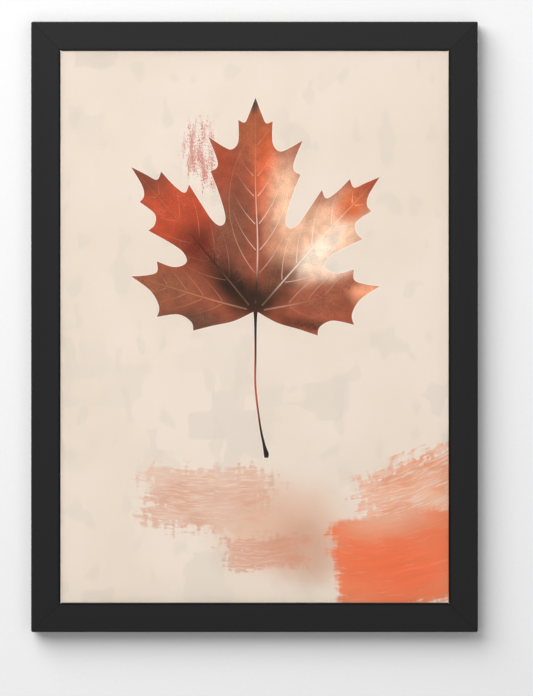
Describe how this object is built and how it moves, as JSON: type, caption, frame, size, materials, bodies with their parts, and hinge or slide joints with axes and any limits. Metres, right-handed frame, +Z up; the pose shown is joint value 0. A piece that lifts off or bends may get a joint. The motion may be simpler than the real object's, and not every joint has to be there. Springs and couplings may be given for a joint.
{
  "type": "framed art print",
  "caption": "Upright black wooden picture frame with an autumn leaf print behind glass, a sawtooth hanger and turn buttons that hold the back board in.",
  "frame": {"origin": "middle notch of the sawtooth hanger, half way through its plate, where the wall's nail sits", "axes": "+Z up, -Y out of the picture towards the viewer, +X to the viewer's right; the wall's plane is 0.75 mm behind the origin"},
  "size_m": [0.336, 0.017, 0.459],
  "materials": {
    "black_lacquer": "satin black lacquer on wood, square section with lightly eased edges",
    "glazing": "clear flat picture glass",
    "print_paper": "matt art paper printed with a watercolour maple leaf on a pale peach ground",
    "corrugated_card": "plain brown corrugated card",
    "hardboard": "smooth pressed brown hardboard",
    "nickel_steel": "nickel plated stamped steel",
    "zinc_steel": "bright zinc plated steel",
    "brass_plate": "brass plated pressed strip",
    "pad_rubber": "matt black rubber"
  },
  "bodies": {
    "frame_and_pack": {"rail_top": "black_lacquer", "rail_bottom": "black_lacquer", "rail_left": "black_lacquer", "rail_right": "black_lacquer", "glass_pane": "glazing", "art_print": "print_paper", "filler_card": "corrugated_card", "back_board": "hardboard", "sawtooth_hanger": "brass_plate", "hanger_nail_left": "zinc_steel", "hanger_nail_right": "zinc_steel", "wall_pad_left": "pad_rubber", "wall_pad_right": "pad_rubber", "corner_wedge_top_left_outer": "zinc_steel", "corner_wedge_top_left_inner": "zinc_steel", "corner_wedge_top_right_outer": "zinc_steel", "corner_wedge_top_right_inner": "zinc_steel", "corner_wedge_bottom_right_outer": "zinc_steel", "corner_wedge_bottom_right_inner": "zinc_steel", "corner_wedge_bottom_left_outer": "zinc_steel", "corner_wedge_bottom_left_inner": "zinc_steel", "button_screw_top_left": "zinc_steel", "button_screw_top_right": "zinc_steel", "button_screw_right_upper": "zinc_steel", "button_screw_right_lower": "zinc_steel", "button_screw_bottom_right": "zinc_steel", "button_screw_bottom_left": "zinc_steel", "button_screw_left_lower": "zinc_steel", "button_screw_left_upper": "zinc_steel"},
    "button_top_left": {"turn_button_top_left": "nickel_steel"},
    "button_top_right": {"turn_button_top_right": "nickel_steel"},
    "button_right_upper": {"turn_button_right_upper": "nickel_steel"},
    "button_right_lower": {"turn_button_right_lower": "nickel_steel"},
    "button_bottom_right": {"turn_button_bottom_right": "nickel_steel"},
    "button_bottom_left": {"turn_button_bottom_left": "nickel_steel"},
    "button_left_lower": {"turn_button_left_lower": "nickel_steel"},
    "button_left_upper": {"turn_button_left_upper": "nickel_steel"}
  },
  "joints": [
    {"name": "turn_top_left", "type": "hinge", "parent": "frame_and_pack", "child": "button_top_left", "pos_m": [-0.09, -0.00225, 0], "axis": [0, 1, 0], "range_deg": [-90, 90]},
    {"name": "turn_top_right", "type": "hinge", "parent": "frame_and_pack", "child": "button_top_right", "pos_m": [0.09, -0.00225, 0], "axis": [0, 1, 0], "range_deg": [-90, 90]},
    {"name": "turn_right_upper", "type": "hinge", "parent": "frame_and_pack", "child": "button_right_upper", "pos_m": [0.156, -0.00225, -0.0875], "axis": [0, 1, 0], "range_deg": [-90, 90]},
    {"name": "turn_right_lower", "type": "hinge", "parent": "frame_and_pack", "child": "button_right_lower", "pos_m": [0.156, -0.00225, -0.3475], "axis": [0, 1, 0], "range_deg": [-90, 90]},
    {"name": "turn_bottom_right", "type": "hinge", "parent": "frame_and_pack", "child": "button_bottom_right", "pos_m": [0.09, -0.00225, -0.435], "axis": [0, 1, 0], "range_deg": [-90, 90]},
    {"name": "turn_bottom_left", "type": "hinge", "parent": "frame_and_pack", "child": "button_bottom_left", "pos_m": [-0.09, -0.00225, -0.435], "axis": [0, 1, 0], "range_deg": [-90, 90]},
    {"name": "turn_left_lower", "type": "hinge", "parent": "frame_and_pack", "child": "button_left_lower", "pos_m": [-0.156, -0.00225, -0.3475], "axis": [0, 1, 0], "range_deg": [-90, 90]},
    {"name": "turn_left_upper", "type": "hinge", "parent": "frame_and_pack", "child": "button_left_upper", "pos_m": [-0.156, -0.00225, -0.0875], "axis": [0, 1, 0], "range_deg": [-90, 90]}
  ]
}
